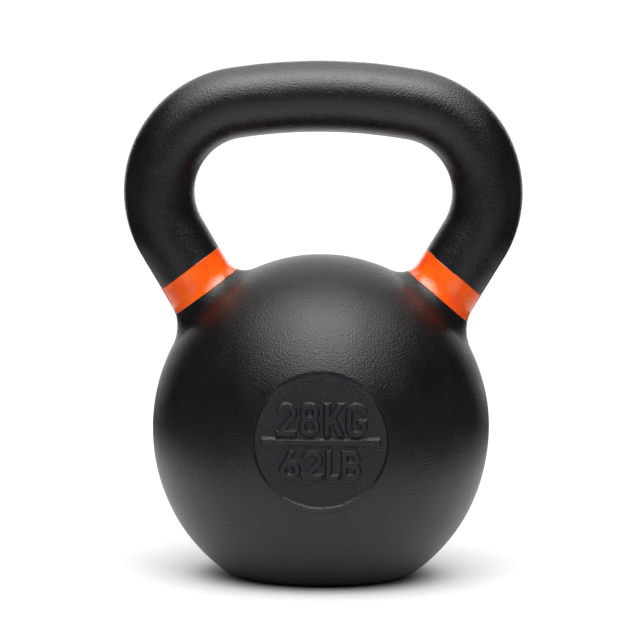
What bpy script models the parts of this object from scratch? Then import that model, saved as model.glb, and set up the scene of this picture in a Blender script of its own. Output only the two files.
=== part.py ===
"""Cast iron kettlebell of 28 kg: a solid ball on a flat base, a bent round handle whose two horns
run into the ball through fillets, a sunk medallion with the weight on the front, and a painted
colour band round each horn.

Metres, +Z up, the front towards -Y. The origin is the middle of the flat base.
"""

from math import asin, atan2, cos, hypot, pi, radians, sin, sqrt, tan

import bmesh
import bpy
from mathutils import Matrix, Vector

# Overall sizes
HEIGHT = 0.2842
HANDLE_WIDTH = 0.2202

# Ball
BALL_RADIUS = 0.0934
BALL_RISE = 0.0960          # from the widest level up to the top
EQUATOR_HEIGHT = 0.0816     # height of the widest level over the floor
BASE_RADIUS = 0.0500
BASE_EDGE_RADIUS = 0.0030

# Handle
GRIP_DIAMETER = 0.0390
SHOULDER_RADIUS = 0.0494    # bend of the handle's centreline on each side
CROWN_RISE = 0.0034         # how far the shallow crown rises over the tops of the shoulder bends
HORN_AIM_DROP = 0.0288      # the horns point at a spot this far under the ball's middle
ROOT_FILLET = 0.0105

# Colour bands
BAND_WIDTH = 0.0160
BAND_WALL = 0.0010
BAND_ABOVE_BALL = 0.0025
BAND_LEAN = radians(7.2)    # the band leans this far from square on the horn, to follow the ball

# Medallion and its raised marking
MEDALLION_RADIUS = 0.0356
MEDALLION_DEPTH = 0.0014    # from the rim down to the flat
MEDALLION_SLOPE = radians(57)
MARKING_MARGIN = 0.0042     # from the marking's outer corners to the rim
MARKING_RELIEF = 0.0013
MARKING_ROOT = 0.0008       # how deep the marking is sunk, so that it joins the flat
BAR_HEIGHT = 0.0034
LETTER_GAP = 0.0010         # between the bar and the letters over and under it
KILOGRAM_HEIGHT = 0.0172
POUND_HEIGHT = 0.0160
POUND_FILL = 0.87           # the lower line has a narrow letter, so it fills less of its width
LETTER_WEIGHT = 0.02        # thickening of the plain letters, as a share of their size

GAP = 0.0003                # between pieces that meet
WELD = 0.00001              # points closer than this are one point

# Roundness of the shapes
BALL_STEPS = 60
FLANK_POINTS = 22
EDGE_POINTS = 4
GRIP_SIDES = 28
CROWN_POINTS = 9
SHOULDER_POINTS = 14
ROOT_SIDES = 36
FILLET_POINTS = 6
LETTER_CURVE_STEPS = 2

# Worked out from the sizes above
GRIP_RADIUS = GRIP_DIAMETER / 2
BALL_DROP = EQUATOR_HEIGHT / sqrt(1 - (BASE_RADIUS / BALL_RADIUS) ** 2)
MIDDLE = Vector((0, 0, EQUATOR_HEIGHT))
AIM = MIDDLE - Vector((0, 0, HORN_AIM_DROP))
CROWN_TOP = HEIGHT - GRIP_RADIUS
SHOULDER_X = HANDLE_WIDTH / 2 - GRIP_RADIUS - SHOULDER_RADIUS
SHOULDER_Z = CROWN_TOP - CROWN_RISE - SHOULDER_RADIUS
# The crown is an arc centred over the ball that runs into both shoulder bends.
CROWN_RADIUS = (SHOULDER_X**2 + CROWN_RISE**2) / (2 * CROWN_RISE) + SHOULDER_RADIUS
CROWN_TURN = atan2(SHOULDER_X, SHOULDER_Z - (CROWN_TOP - CROWN_RADIUS))
# Each horn is the line from AIM that touches the shoulder bend on its outer side.
AIM_TO_BEND = hypot(SHOULDER_X, SHOULDER_Z - AIM.z)
HORN_ANGLE = atan2(SHOULDER_Z - AIM.z, SHOULDER_X) - asin(SHOULDER_RADIUS / AIM_TO_BEND)
HORN_LENGTH = sqrt(AIM_TO_BEND**2 - SHOULDER_RADIUS**2)
BAND_ANGLE = HORN_ANGLE - BAND_LEAN
# The band's lower edge is a plane this far from MIDDLE, just clear of the ball.
BAND_START = hypot(BALL_RADIUS * cos(BAND_ANGLE), BALL_RISE * sin(BAND_ANGLE)) + BAND_ABOVE_BALL
BAND_MIDDLE = BAND_START + BAND_WIDTH / 2
# Distance along the horn from AIM to the middle of the band, where handle and ball meet.
SPLIT = (BAND_MIDDLE + HORN_AIM_DROP * sin(BAND_ANGLE)) / cos(BAND_LEAN)
NECK_RADIUS = GRIP_RADIUS - BAND_WALL
CUTTER_REACH = 4 * GRIP_RADIUS


def clear_scene():
    for obj in list(bpy.data.objects):
        bpy.data.objects.remove(obj, do_unlink=True)


def make_collection(name):
    collection = bpy.data.collections.new(name)
    bpy.context.scene.collection.children.link(collection)
    return collection


def make_material(name, color, roughness, metallic=0.0):
    material = bpy.data.materials.new(name)
    material.use_nodes = True
    shader = material.node_tree.nodes["Principled BSDF"]
    shader.inputs["Base Color"].default_value = (*color, 1)
    shader.inputs["Roughness"].default_value = roughness
    shader.inputs["Metallic"].default_value = metallic
    material.diffuse_color = (*color, 1)
    return material


def place(obj, collection):
    """Moves an object that an operator made into a collection."""
    for old in obj.users_collection:
        old.objects.unlink(obj)
    collection.objects.link(obj)
    return obj


def as_cutter(obj):
    obj.hide_render = True
    obj.display_type = "WIRE"
    return obj


def boolean(obj, other, operation, crosses_itself=False):
    modifier = obj.modifiers.new(f"{operation.lower()}_{other.name}", "BOOLEAN")
    modifier.object = other
    modifier.operation = operation
    modifier.solver = "EXACT"
    modifier.use_self = crosses_itself


def horn_point(side, distance):
    """A point on the horn's centreline, a distance from AIM; side is 1 on the right, -1 on the left."""
    return AIM + distance * horn_direction(side)


def horn_direction(side):
    return Vector((side * cos(HORN_ANGLE), 0, sin(HORN_ANGLE)))


def band_direction(side):
    return Vector((side * cos(BAND_ANGLE), 0, sin(BAND_ANGLE)))


def pose_along(point, direction):
    """A matrix that stands +Z along a direction, with +Y kept."""
    across = Vector((0, 1, 0)).cross(direction)
    turn = Matrix((across, (0, 1, 0), direction)).transposed()
    return Matrix.Translation(point) @ turn.to_4x4()


def closed_mesh(guide):
    """The mesh of a curve or text object with its caps joined to its sides; the object is removed."""
    mesh = bpy.data.meshes.new_from_object(guide.evaluated_get(bpy.context.evaluated_depsgraph_get()))
    bpy.data.objects.remove(guide, do_unlink=True)
    form = bmesh.new()
    form.from_mesh(mesh)
    bmesh.ops.remove_doubles(form, verts=form.verts, dist=WELD)
    bmesh.ops.recalc_face_normals(form, faces=form.faces)
    form.to_mesh(mesh)
    form.free()
    return mesh


def ball_outline():
    """(radius, height) of the turned ball from its top down the outside to the middle of the base."""
    base_angle = asin(EQUATOR_HEIGHT / BALL_DROP)
    flank_slope = atan2(BALL_DROP * cos(base_angle), BALL_RADIUS * sin(base_angle))
    # The rounded edge takes this much off the flank and off the flat.
    reach = BASE_EDGE_RADIUS / tan((pi - flank_slope) / 2)
    stop = base_angle - reach / hypot(BALL_RADIUS * sin(base_angle), BALL_DROP * cos(base_angle))
    points = []
    for i in range(FLANK_POINTS + 1):
        angle = pi / 2 - (pi / 2 + stop) * i / FLANK_POINTS
        rise = BALL_RISE if angle > 0 else BALL_DROP
        points.append((BALL_RADIUS * cos(angle), EQUATOR_HEIGHT + rise * sin(angle)))
    flat = BASE_RADIUS - reach
    for i in range(1, EDGE_POINTS + 1):
        angle = flank_slope * (1 - i / EDGE_POINTS)
        points.append((flat + BASE_EDGE_RADIUS * sin(angle), BASE_EDGE_RADIUS * (1 - cos(angle))))
    points[0] = (0.0, points[0][1])
    points.append((0.0, 0.0))
    return points


def turned(name, outline, steps, collection):
    """A solid of revolution round +Z."""
    mesh = bpy.data.meshes.new(name)
    edges = [(i, i + 1) for i in range(len(outline) - 1)]
    mesh.from_pydata([(radius, 0, height) for radius, height in outline], edges, [])
    obj = bpy.data.objects.new(name, mesh)
    collection.objects.link(obj)
    screw = obj.modifiers.new("turn", "SCREW")
    screw.steps = screw.render_steps = steps
    screw.use_merge_vertices = True
    screw.merge_threshold = WELD
    return obj


def ball_distance(point):
    """Signed distance from the upper half of the ball, close to its surface, and its slope."""
    from_middle = point - MIDDLE
    scaled = Vector((from_middle.x / BALL_RADIUS, from_middle.y / BALL_RADIUS, from_middle.z / BALL_RISE))
    slope = Vector((scaled.x / BALL_RADIUS, scaled.y / BALL_RADIUS, scaled.z / BALL_RISE))
    reach = scaled.length
    return reach * (reach - 1) / slope.length, slope.normalized()


def horn_spoke(side, angle):
    """The direction square to the horn at an angle round it."""
    across = horn_direction(side).cross(Vector((0, 1, 0)))
    return cos(angle) * across + sin(angle) * Vector((0, 1, 0))


def fillet_arc(side, angle):
    """Points of the root fillet at one angle round the horn, from the ball up to the horn.

    The fillet is the surface of a ball of ROOT_FILLET that rolls round the horn and touches the
    kettlebell's ball as well. Bisection finds how far up the horn the rolling ball's middle lies.
    """
    outward = horn_spoke(side, angle)
    low = 0.0
    high = HORN_LENGTH
    for _ in range(40):
        halfway = (low + high) / 2
        center = horn_point(side, halfway) + (GRIP_RADIUS + ROOT_FILLET) * outward
        if ball_distance(center)[0] < ROOT_FILLET:
            low = halfway
        else:
            high = halfway
    to_horn = -outward
    to_ball = -ball_distance(center)[1]
    sweep = to_ball.angle(to_horn)
    points = []
    for i in range(FILLET_POINTS + 1):
        part = i / FILLET_POINTS
        spoke = (sin((1 - part) * sweep) * to_ball + sin(part * sweep) * to_horn) / sin(sweep)
        points.append(center + ROOT_FILLET * spoke)
    return points, to_ball


def horn_root(name, side, top, collection):
    """A loft from inside the ball, through the fillet, and up the straight horn to a distance from AIM."""
    rings = [[] for _ in range(FILLET_POINTS + 3)]
    for i in range(ROOT_SIDES):
        angle = 2 * pi * i / ROOT_SIDES
        arc, into_ball = fillet_arc(side, angle)
        rings[0].append(arc[0] + ROOT_FILLET / 2 * into_ball)
        for ring, point in zip(rings[1:], arc):
            ring.append(point)
        rings[-1].append(horn_point(side, top) + GRIP_RADIUS * horn_spoke(side, angle))
    form = bmesh.new()
    loops = [[form.verts.new(point) for point in ring] for ring in rings]
    for lower, upper in zip(loops, loops[1:]):
        for i in range(ROOT_SIDES):
            j = (i + 1) % ROOT_SIDES
            form.faces.new((lower[i], lower[j], upper[j], upper[i]))
    form.faces.new(loops[0])
    form.faces.new(loops[-1])
    bmesh.ops.recalc_face_normals(form, faces=form.faces)
    mesh = bpy.data.meshes.new(name)
    form.to_mesh(mesh)
    form.free()
    obj = bpy.data.objects.new(name, mesh)
    collection.objects.link(obj)
    return obj


def handle_path():
    """Points of the handle's centreline, from the left split over the crown to the right one."""
    half = []
    for i in range(CROWN_POINTS + 1):
        turn = CROWN_TURN * i / CROWN_POINTS
        half.append((CROWN_RADIUS * sin(turn), CROWN_TOP - CROWN_RADIUS * (1 - cos(turn))))
    shoulder_end = pi / 2 + (pi / 2 - HORN_ANGLE)
    for i in range(1, SHOULDER_POINTS + 1):
        turn = CROWN_TURN + (shoulder_end - CROWN_TURN) * i / SHOULDER_POINTS
        half.append((SHOULDER_X + SHOULDER_RADIUS * sin(turn), SHOULDER_Z + SHOULDER_RADIUS * cos(turn)))
    end = horn_point(1, SPLIT + GAP / 2)
    half.append((end.x, end.z))
    left = [(-x, z) for x, z in reversed(half[1:])]
    return left + half


def tube(name, path, radius, sides, collection):
    """A round bar along points (x, z) in the plane of the handle, as a closed mesh."""
    curve = bpy.data.curves.new(name, "CURVE")
    curve.dimensions = "3D"
    curve.bevel_depth = radius
    curve.bevel_resolution = sides // 2 - 2
    curve.use_fill_caps = True
    spline = curve.splines.new("POLY")
    spline.points.add(len(path) - 1)
    for point, (x, z) in zip(spline.points, path):
        point.co = (x, 0, z, 1)
    guide = bpy.data.objects.new(f"{name}_guide", curve)
    collection.objects.link(guide)
    obj = bpy.data.objects.new(name, closed_mesh(guide))
    collection.objects.link(obj)
    return obj


def slab(name, point, direction, thickness, collection):
    """A square slab with its middle at a point, flat across a direction."""
    bpy.ops.mesh.primitive_cube_add(size=1)
    obj = place(bpy.context.object, collection)
    obj.name = name
    obj.data.transform(Matrix.Diagonal((CUTTER_REACH, CUTTER_REACH, thickness, 1)))
    obj.matrix_world = pose_along(point, direction)
    return obj


def round_bar(name, point, direction, radius, collection):
    bpy.ops.mesh.primitive_cylinder_add(vertices=ROOT_SIDES, radius=radius, depth=CUTTER_REACH)
    obj = place(bpy.context.object, collection)
    obj.name = name
    obj.matrix_world = pose_along(point, direction)
    return obj


def neck_cutter(name, side, cutters):
    """A ring that takes the band's seat out of the horn: the band's slab, less the neck inside it."""
    middle = horn_point(side, SPLIT)
    ring = slab(name, middle, band_direction(side), BAND_WIDTH + 2 * GAP, cutters)
    neck = round_bar(f"{name}_core", middle, horn_direction(side), NECK_RADIUS - GAP, cutters)
    boolean(ring, as_cutter(neck), "DIFFERENCE")
    return as_cutter(ring)


def colour_band(name, side, material, parts, cutters):
    """The painted ring: the horn's own outside between the band's edges, less the neck."""
    middle = horn_point(side, SPLIT)
    band = horn_root(name, side, SPLIT + BAND_WIDTH, parts)
    edges = slab(f"{name}_edges", middle, band_direction(side), BAND_WIDTH, cutters)
    bore = round_bar(f"{name}_bore", middle, horn_direction(side), NECK_RADIUS, cutters)
    boolean(band, as_cutter(edges), "INTERSECT")
    boolean(band, as_cutter(bore), "DIFFERENCE")
    band.data.materials.append(material)
    return band


def face_forward(obj, depth, height):
    """Turns what lies flat in X and Y to face the front, at a depth before the middle and a height."""
    obj.matrix_world = Matrix.Translation((0, -depth, height)) @ Matrix.Rotation(pi / 2, 4, "X")


def medallion_cutter(cutters):
    """The sunk flat on the front with its sloping wall: a cone frustum that opens forwards."""
    rim = sqrt(BALL_RADIUS**2 - MEDALLION_RADIUS**2)
    floor = rim - MEDALLION_DEPTH
    mouth = BALL_RADIUS + MEDALLION_DEPTH
    spread = tan(MEDALLION_SLOPE)
    bpy.ops.mesh.primitive_cone_add(
        vertices=BALL_STEPS,
        radius1=MEDALLION_RADIUS - MEDALLION_DEPTH * spread,
        radius2=MEDALLION_RADIUS + (mouth - rim) * spread,
        depth=mouth - floor,
    )
    obj = place(bpy.context.object, cutters)
    obj.name = "medallion_cutter"
    face_forward(obj, (floor + mouth) / 2, EQUATOR_HEIGHT)
    return as_cutter(obj), floor


def lettering(name, words, width, height, cutters):
    """Words fitted to a width and a height, round the origin."""
    curve = bpy.data.curves.new(name, "FONT")
    curve.body = words
    curve.resolution_u = LETTER_CURVE_STEPS
    curve.offset = LETTER_WEIGHT
    curve.extrude = (MARKING_RELIEF + MARKING_ROOT) / 2
    guide = bpy.data.objects.new(f"{name}_guide", curve)
    cutters.objects.link(guide)
    mesh = closed_mesh(guide)
    xs = [vert.co.x for vert in mesh.vertices]
    ys = [vert.co.y for vert in mesh.vertices]
    middle = Vector(((min(xs) + max(xs)) / 2, (min(ys) + max(ys)) / 2, 0))
    fit = Matrix.Diagonal((width / (max(xs) - min(xs)), height / (max(ys) - min(ys)), 1, 1))
    mesh.transform(fit @ Matrix.Translation(-middle))
    obj = bpy.data.objects.new(name, mesh)
    cutters.objects.link(obj)
    return obj


def room_inside(edge):
    """The width between the marking's margins, at a distance over or under the medallion's middle."""
    return 2 * sqrt((MEDALLION_RADIUS - MARKING_MARGIN) ** 2 - edge**2)


def marking(floor, cutters):
    """The weight in kilograms over a bar, and in pounds under it."""
    depth = floor + (MARKING_RELIEF - MARKING_ROOT) / 2
    bpy.ops.mesh.primitive_cube_add(size=1)
    bar = place(bpy.context.object, cutters)
    bar.name = "marking_bar"
    bar_size = (room_inside(BAR_HEIGHT / 2), BAR_HEIGHT, MARKING_RELIEF + MARKING_ROOT, 1)
    bar.data.transform(Matrix.Diagonal(bar_size))
    letters_start = BAR_HEIGHT / 2 + LETTER_GAP
    kilogram_room = room_inside(letters_start + KILOGRAM_HEIGHT)
    pound_room = room_inside(letters_start + POUND_HEIGHT)
    kilograms = lettering("marking_kilograms", "28KG", kilogram_room, KILOGRAM_HEIGHT, cutters)
    pounds = lettering("marking_pounds", "62LB", pound_room * POUND_FILL, POUND_HEIGHT, cutters)
    face_forward(bar, depth, EQUATOR_HEIGHT)
    face_forward(kilograms, depth, EQUATOR_HEIGHT + letters_start + KILOGRAM_HEIGHT / 2)
    face_forward(pounds, depth, EQUATOR_HEIGHT - letters_start - POUND_HEIGHT / 2)
    return [as_cutter(obj) for obj in (bar, kilograms, pounds)]


def build_ball(material, necks, parts, cutters):
    ball = turned("ball", ball_outline(), BALL_STEPS, parts)
    for side, word in ((-1, "left"), (1, "right")):
        root = horn_root(f"{word}_horn_root", side, SPLIT - GAP / 2, cutters)
        boolean(ball, as_cutter(root), "UNION")
    for neck in necks:
        boolean(ball, neck, "DIFFERENCE")
    cutter, floor = medallion_cutter(cutters)
    boolean(ball, cutter, "DIFFERENCE")
    for raised in marking(floor, cutters):
        # The outlines of thickened letters cross themselves at their inner corners.
        boolean(ball, raised, "UNION", crosses_itself=True)
    ball.data.materials.append(material)
    return ball


def build_handle(material, necks, parts):
    handle = tube("handle", handle_path(), GRIP_RADIUS, GRIP_SIDES, parts)
    for neck in necks:
        boolean(handle, neck, "DIFFERENCE")
    handle.data.materials.append(material)
    return handle


def shade(obj):
    obj.data.shade_smooth()
    obj.data.set_sharp_from_angle(angle=radians(35))


def main():
    clear_scene()
    parts = make_collection("kettlebell")
    cutters = make_collection("cutters")
    coat = make_material("black_powder_coat", (0.022, 0.022, 0.024), 0.45)
    paint = make_material("orange_enamel", (0.93, 0.11, 0.008), 0.28)
    necks = [neck_cutter("left_neck_cutter", -1, cutters), neck_cutter("right_neck_cutter", 1, cutters)]
    pieces = [
        build_ball(coat, necks, parts, cutters),
        build_handle(coat, necks, parts),
        colour_band("left_colour_band", -1, paint, parts, cutters),
        colour_band("right_colour_band", 1, paint, parts, cutters),
    ]
    for piece in pieces:
        shade(piece)


main()
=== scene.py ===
"""Finished look of a cast iron kettlebell with painted weight bands.

The casting is one solid: a ball with a flat base, and a bent round bar that runs into the ball
through soft fillets. The skins of the ball, the handle and the two painted bands are all found on that
solid, so they meet with no step, and the seams between ball and handle lie under the paint. The disc
with the weight marking fills a round hole in the ball's front.
"""

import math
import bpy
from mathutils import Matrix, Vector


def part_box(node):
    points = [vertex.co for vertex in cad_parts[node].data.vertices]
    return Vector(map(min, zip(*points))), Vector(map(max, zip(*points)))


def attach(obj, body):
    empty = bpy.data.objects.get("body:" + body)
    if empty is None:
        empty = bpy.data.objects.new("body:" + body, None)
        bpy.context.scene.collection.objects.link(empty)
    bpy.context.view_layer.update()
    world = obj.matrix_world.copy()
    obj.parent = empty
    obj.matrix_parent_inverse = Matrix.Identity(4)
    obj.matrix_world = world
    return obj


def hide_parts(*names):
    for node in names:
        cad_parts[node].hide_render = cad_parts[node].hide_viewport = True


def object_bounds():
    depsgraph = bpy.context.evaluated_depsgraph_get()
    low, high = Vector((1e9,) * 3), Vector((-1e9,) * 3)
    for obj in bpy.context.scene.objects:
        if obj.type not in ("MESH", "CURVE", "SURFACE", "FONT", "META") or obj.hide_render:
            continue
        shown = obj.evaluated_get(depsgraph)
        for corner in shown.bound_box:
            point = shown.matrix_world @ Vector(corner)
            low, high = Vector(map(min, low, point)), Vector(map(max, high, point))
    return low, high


bl_info = {
    "name": "Cast kettlebell",
    "version": (1, 0, 0),
    "blender": (4, 5, 0),
    "location": "3D View > Sidebar > Kettlebell",
    "description": "Builds the skin, the paint and the studio of a cast iron kettlebell",
    "category": "Object",
}

import bpy
import numpy as np
from mathutils import Quaternion, Vector

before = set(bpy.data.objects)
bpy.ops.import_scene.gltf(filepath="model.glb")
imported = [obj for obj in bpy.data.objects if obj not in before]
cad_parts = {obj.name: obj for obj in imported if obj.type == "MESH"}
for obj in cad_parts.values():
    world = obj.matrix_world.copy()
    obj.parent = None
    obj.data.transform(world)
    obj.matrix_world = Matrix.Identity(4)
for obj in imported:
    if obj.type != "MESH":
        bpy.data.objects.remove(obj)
CAD_LOW, CAD_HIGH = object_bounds()
BALL_LOW, BALL_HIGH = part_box("ball")
HANDLE_LOW, HANDLE_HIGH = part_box("handle")

BODY = "root"
MM = 0.001
TURN = 2 * math.pi


# ---------------------------------------------------------------------------
# Sizes and colours
# ---------------------------------------------------------------------------


def length(name, description, default):
    return bpy.props.FloatProperty(
        name=name, description=description, default=default, unit="LENGTH", precision=5
    )


def turn(name, description, degrees):
    return bpy.props.FloatProperty(
        name=name, description=description, default=math.radians(degrees), subtype="ANGLE"
    )


def amount(name, description, default):
    return bpy.props.FloatProperty(name=name, description=description, default=default, precision=4)


def colour(name, description, default):
    return bpy.props.FloatVectorProperty(
        name=name, description=description, default=default, subtype="COLOR", size=3, min=0.0, max=1.0
    )


class KettlebellCasting(bpy.types.PropertyGroup):
    """Sizes of the poured iron."""

    height: length("Height", "Floor to the top of the handle", HANDLE_HIGH.z)
    handle_width: length("Handle width", "Over both shoulders", HANDLE_HIGH.x - HANDLE_LOW.x)
    grip_diameter: length("Grip diameter", "Thickness of the bar", HANDLE_HIGH.y - HANDLE_LOW.y)
    ball_radius: length("Ball radius", "Half the width of the ball", (BALL_HIGH.x - BALL_LOW.x) / 2)
    ball_rise: length("Ball rise", "From the widest level up to the ball's top", 0.0960)
    equator_height: length("Equator height", "Height of the widest level over the floor", 0.0816)
    base_radius: length("Base radius", "Radius of the flat the ball stands on", 0.0500)
    base_edge: length("Base edge", "Rounding between the flat and the ball", 0.0030)
    shoulder_radius: length("Shoulder radius", "Bend of the handle's centreline", 0.0494)
    crown_rise: length("Crown rise", "Rise of the crown over the shoulder bends", 0.0034)
    horn_drop: length("Horn drop", "How far under the ball's middle the horns aim", 0.0335)
    root_fillet: length("Root fillet", "Rolling radius between horn and ball", 0.0110)
    swell: length("Swell", "Height of the slow swells that the sand mould leaves", 0.00006)


class KettlebellMedallion(bpy.types.PropertyGroup):
    """Sizes of the flat disc with the weight marking."""

    radius: length("Radius", "Radius of the disc's rim", 0.0358)
    raised: length("Raised", "Height of the disc's middle over the ball's widest level", 0.0018)
    wall: length("Wall", "Width of the sloping side along the disc's lower half", 0.0014)
    blend: length("Blend", "How softly the disc runs into the ball at its top", 0.0016)
    groove: length("Groove", "Depth of the fine groove along the rim", 0.00095)
    groove_width: length("Groove width", "Half the width of that groove", 0.00050)
    ragged: length("Ragged", "How far the rim strays at its lowest part", 0.00012)
    relief: length("Relief", "How far the marking stands off the floor", 0.0013)


class KettlebellBands(bpy.types.PropertyGroup):
    """Sizes of the painted rings."""

    width: length("Width", "From one edge of the paint to the other", 0.0160)
    above_ball: length("Above ball", "From the ball's skin to the paint's lower edge", 0.0025)
    lean: turn("Lean", "How far the ring leans from square on the horn", 8.1)
    film: length("Film", "Thickness of the paint over the coat", 0.00013)
    wander: length("Wander", "How far the masked edge strays", 0.00016)
    left_raise: length("Left raise", "How much higher the left ring's outer end sits", 0.0017)
    right_raise: length("Right raise", "How much higher the right ring's outer end sits", -0.0004)


class KettlebellLooks(bpy.types.PropertyGroup):
    """Colours and grain of the finishes."""

    coat: colour("Coat", "Black powder coat", (0.0040, 0.0040, 0.0041))
    # painted reflection: the disc's bluer, lighter tint stands in for what the disc reflects
    medallion_coat_painted_reflection: colour("Medallion coat", "Powder coat pooled in the disc", (0.0065, 0.0060, 0.0095))
    enamel: colour("Enamel", "Orange paint of the bands", (1.0, 0.125, 0.004))
    enamel_thick: colour("Thick enamel", "The same paint where the brush left more", (0.95, 0.075, 0.003))
    grain: length("Grain", "Width of one bump of the powder coat", 0.0009)
    grain_height: length("Grain height", "Height of the bumps", 0.00029)
    coat_roughness: amount("Coat roughness", "Roughness of the powder coat", 0.35)
    grip_roughness: amount("Grip roughness", "Roughness where hands polish the bar", 0.28)
    coat_shine: amount("Coat shine", "Strength of the coat's reflection", 0.44)
    grip_shine: amount("Grip shine", "Strength of the reflection of the polished bar", 0.62)


class KettlebellStudio(bpy.types.PropertyGroup):
    """Camera and lights."""

    camera_distance: length("Camera distance", "Camera to the object's middle plane", 1.518)
    camera_height: length("Camera height", "Camera over the floor", 0.251)
    camera_slide: length("Camera slide", "Camera to the side of the object's middle", -0.0011)
    lens: amount("Lens", "Focal length in millimetres on a 36 mm sensor", 154.5)
    camera_roll: turn("Camera roll", "Turn of the camera about its own axis", 0.6)
    aim_drop: length("Aim drop", "How far under the object's middle the camera looks", 0.0010)
    softbox_glow: amount("Softbox glow", "Radiance of the overhead softbox at its rim", 3.0)
    softbox_core: amount("Softbox core", "Radiance that the softbox's middle adds", 4.1)
    ceiling_glow: amount("Ceiling glow", "Radiance of the white card over and behind", 1.8)
    backdrop_glow: amount("Backdrop glow", "Radiance of the white card behind", 1.4)
    front_glow: amount("Front glow", "Radiance of the card that lies in front", 0.72)
    side_glow: amount("Side glow", "Radiance of the low grey cards at both sides", 0.20)
    room_glow: amount("Room glow", "Radiance of the dark room", 0.04)


GROUPS = {
    "kettlebell_casting": KettlebellCasting,
    "kettlebell_medallion": KettlebellMedallion,
    "kettlebell_bands": KettlebellBands,
    "kettlebell_looks": KettlebellLooks,
    "kettlebell_studio": KettlebellStudio,
}


# ---------------------------------------------------------------------------
# The casting as a solid
# ---------------------------------------------------------------------------

HALVINGS = 30


def smooth_step(x, low, high):
    """0 under low, 1 over high, and 3t^2 - 2t^3 between, with t the way from low to high."""
    t = np.clip((x - low) / (high - low), 0, 1)
    return t * t * (3 - 2 * t)


def hump(x, middle, half_width):
    """A flat-topped hill: e to the power of minus the fourth power of the distance in half widths."""
    return np.exp(-(((x - middle) / half_width) ** 4))


def round_union(a, b, radius):
    """Two solids joined by a rolling fillet: the nearer distance, or inside the fillet's reach the
    radius less the length of what both distances lack to the radius."""
    return np.maximum(radius, np.minimum(a, b)) - np.hypot(
        np.maximum(radius - a, 0), np.maximum(radius - b, 0)
    )


def round_cut(a, b, radius):
    """What two solids share, with the edge between them rounded: the mirror image of round_union."""
    return np.minimum(-radius, np.maximum(a, b)) + np.hypot(
        np.maximum(a + radius, 0), np.maximum(b + radius, 0)
    )


def spread(start, end, count, weight):
    """count + 1 places from start to end, closer where weight is larger: equal steps of the running
    total of the weight."""
    fine = np.linspace(start, end, 4001)
    total = np.concatenate([[0.0], np.cumsum((weight(fine[1:]) + weight(fine[:-1])) / 2)])
    return np.interp(np.linspace(0, total[-1], count + 1), total, fine)


def swells(points):
    """Slow swells over the casting: a third of the sum of nine sine waves, each in its own
    direction."""
    chance = np.random.default_rng(28)
    ways = chance.normal(size=(9, 3))
    ways *= (TURN / chance.uniform(0.018, 0.060, 9) / np.linalg.norm(ways, axis=1))[:, None]
    starts = chance.uniform(0, TURN, 9)
    return sum(np.sin(points @ way + start) for way, start in zip(ways, starts)) / 3


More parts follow.
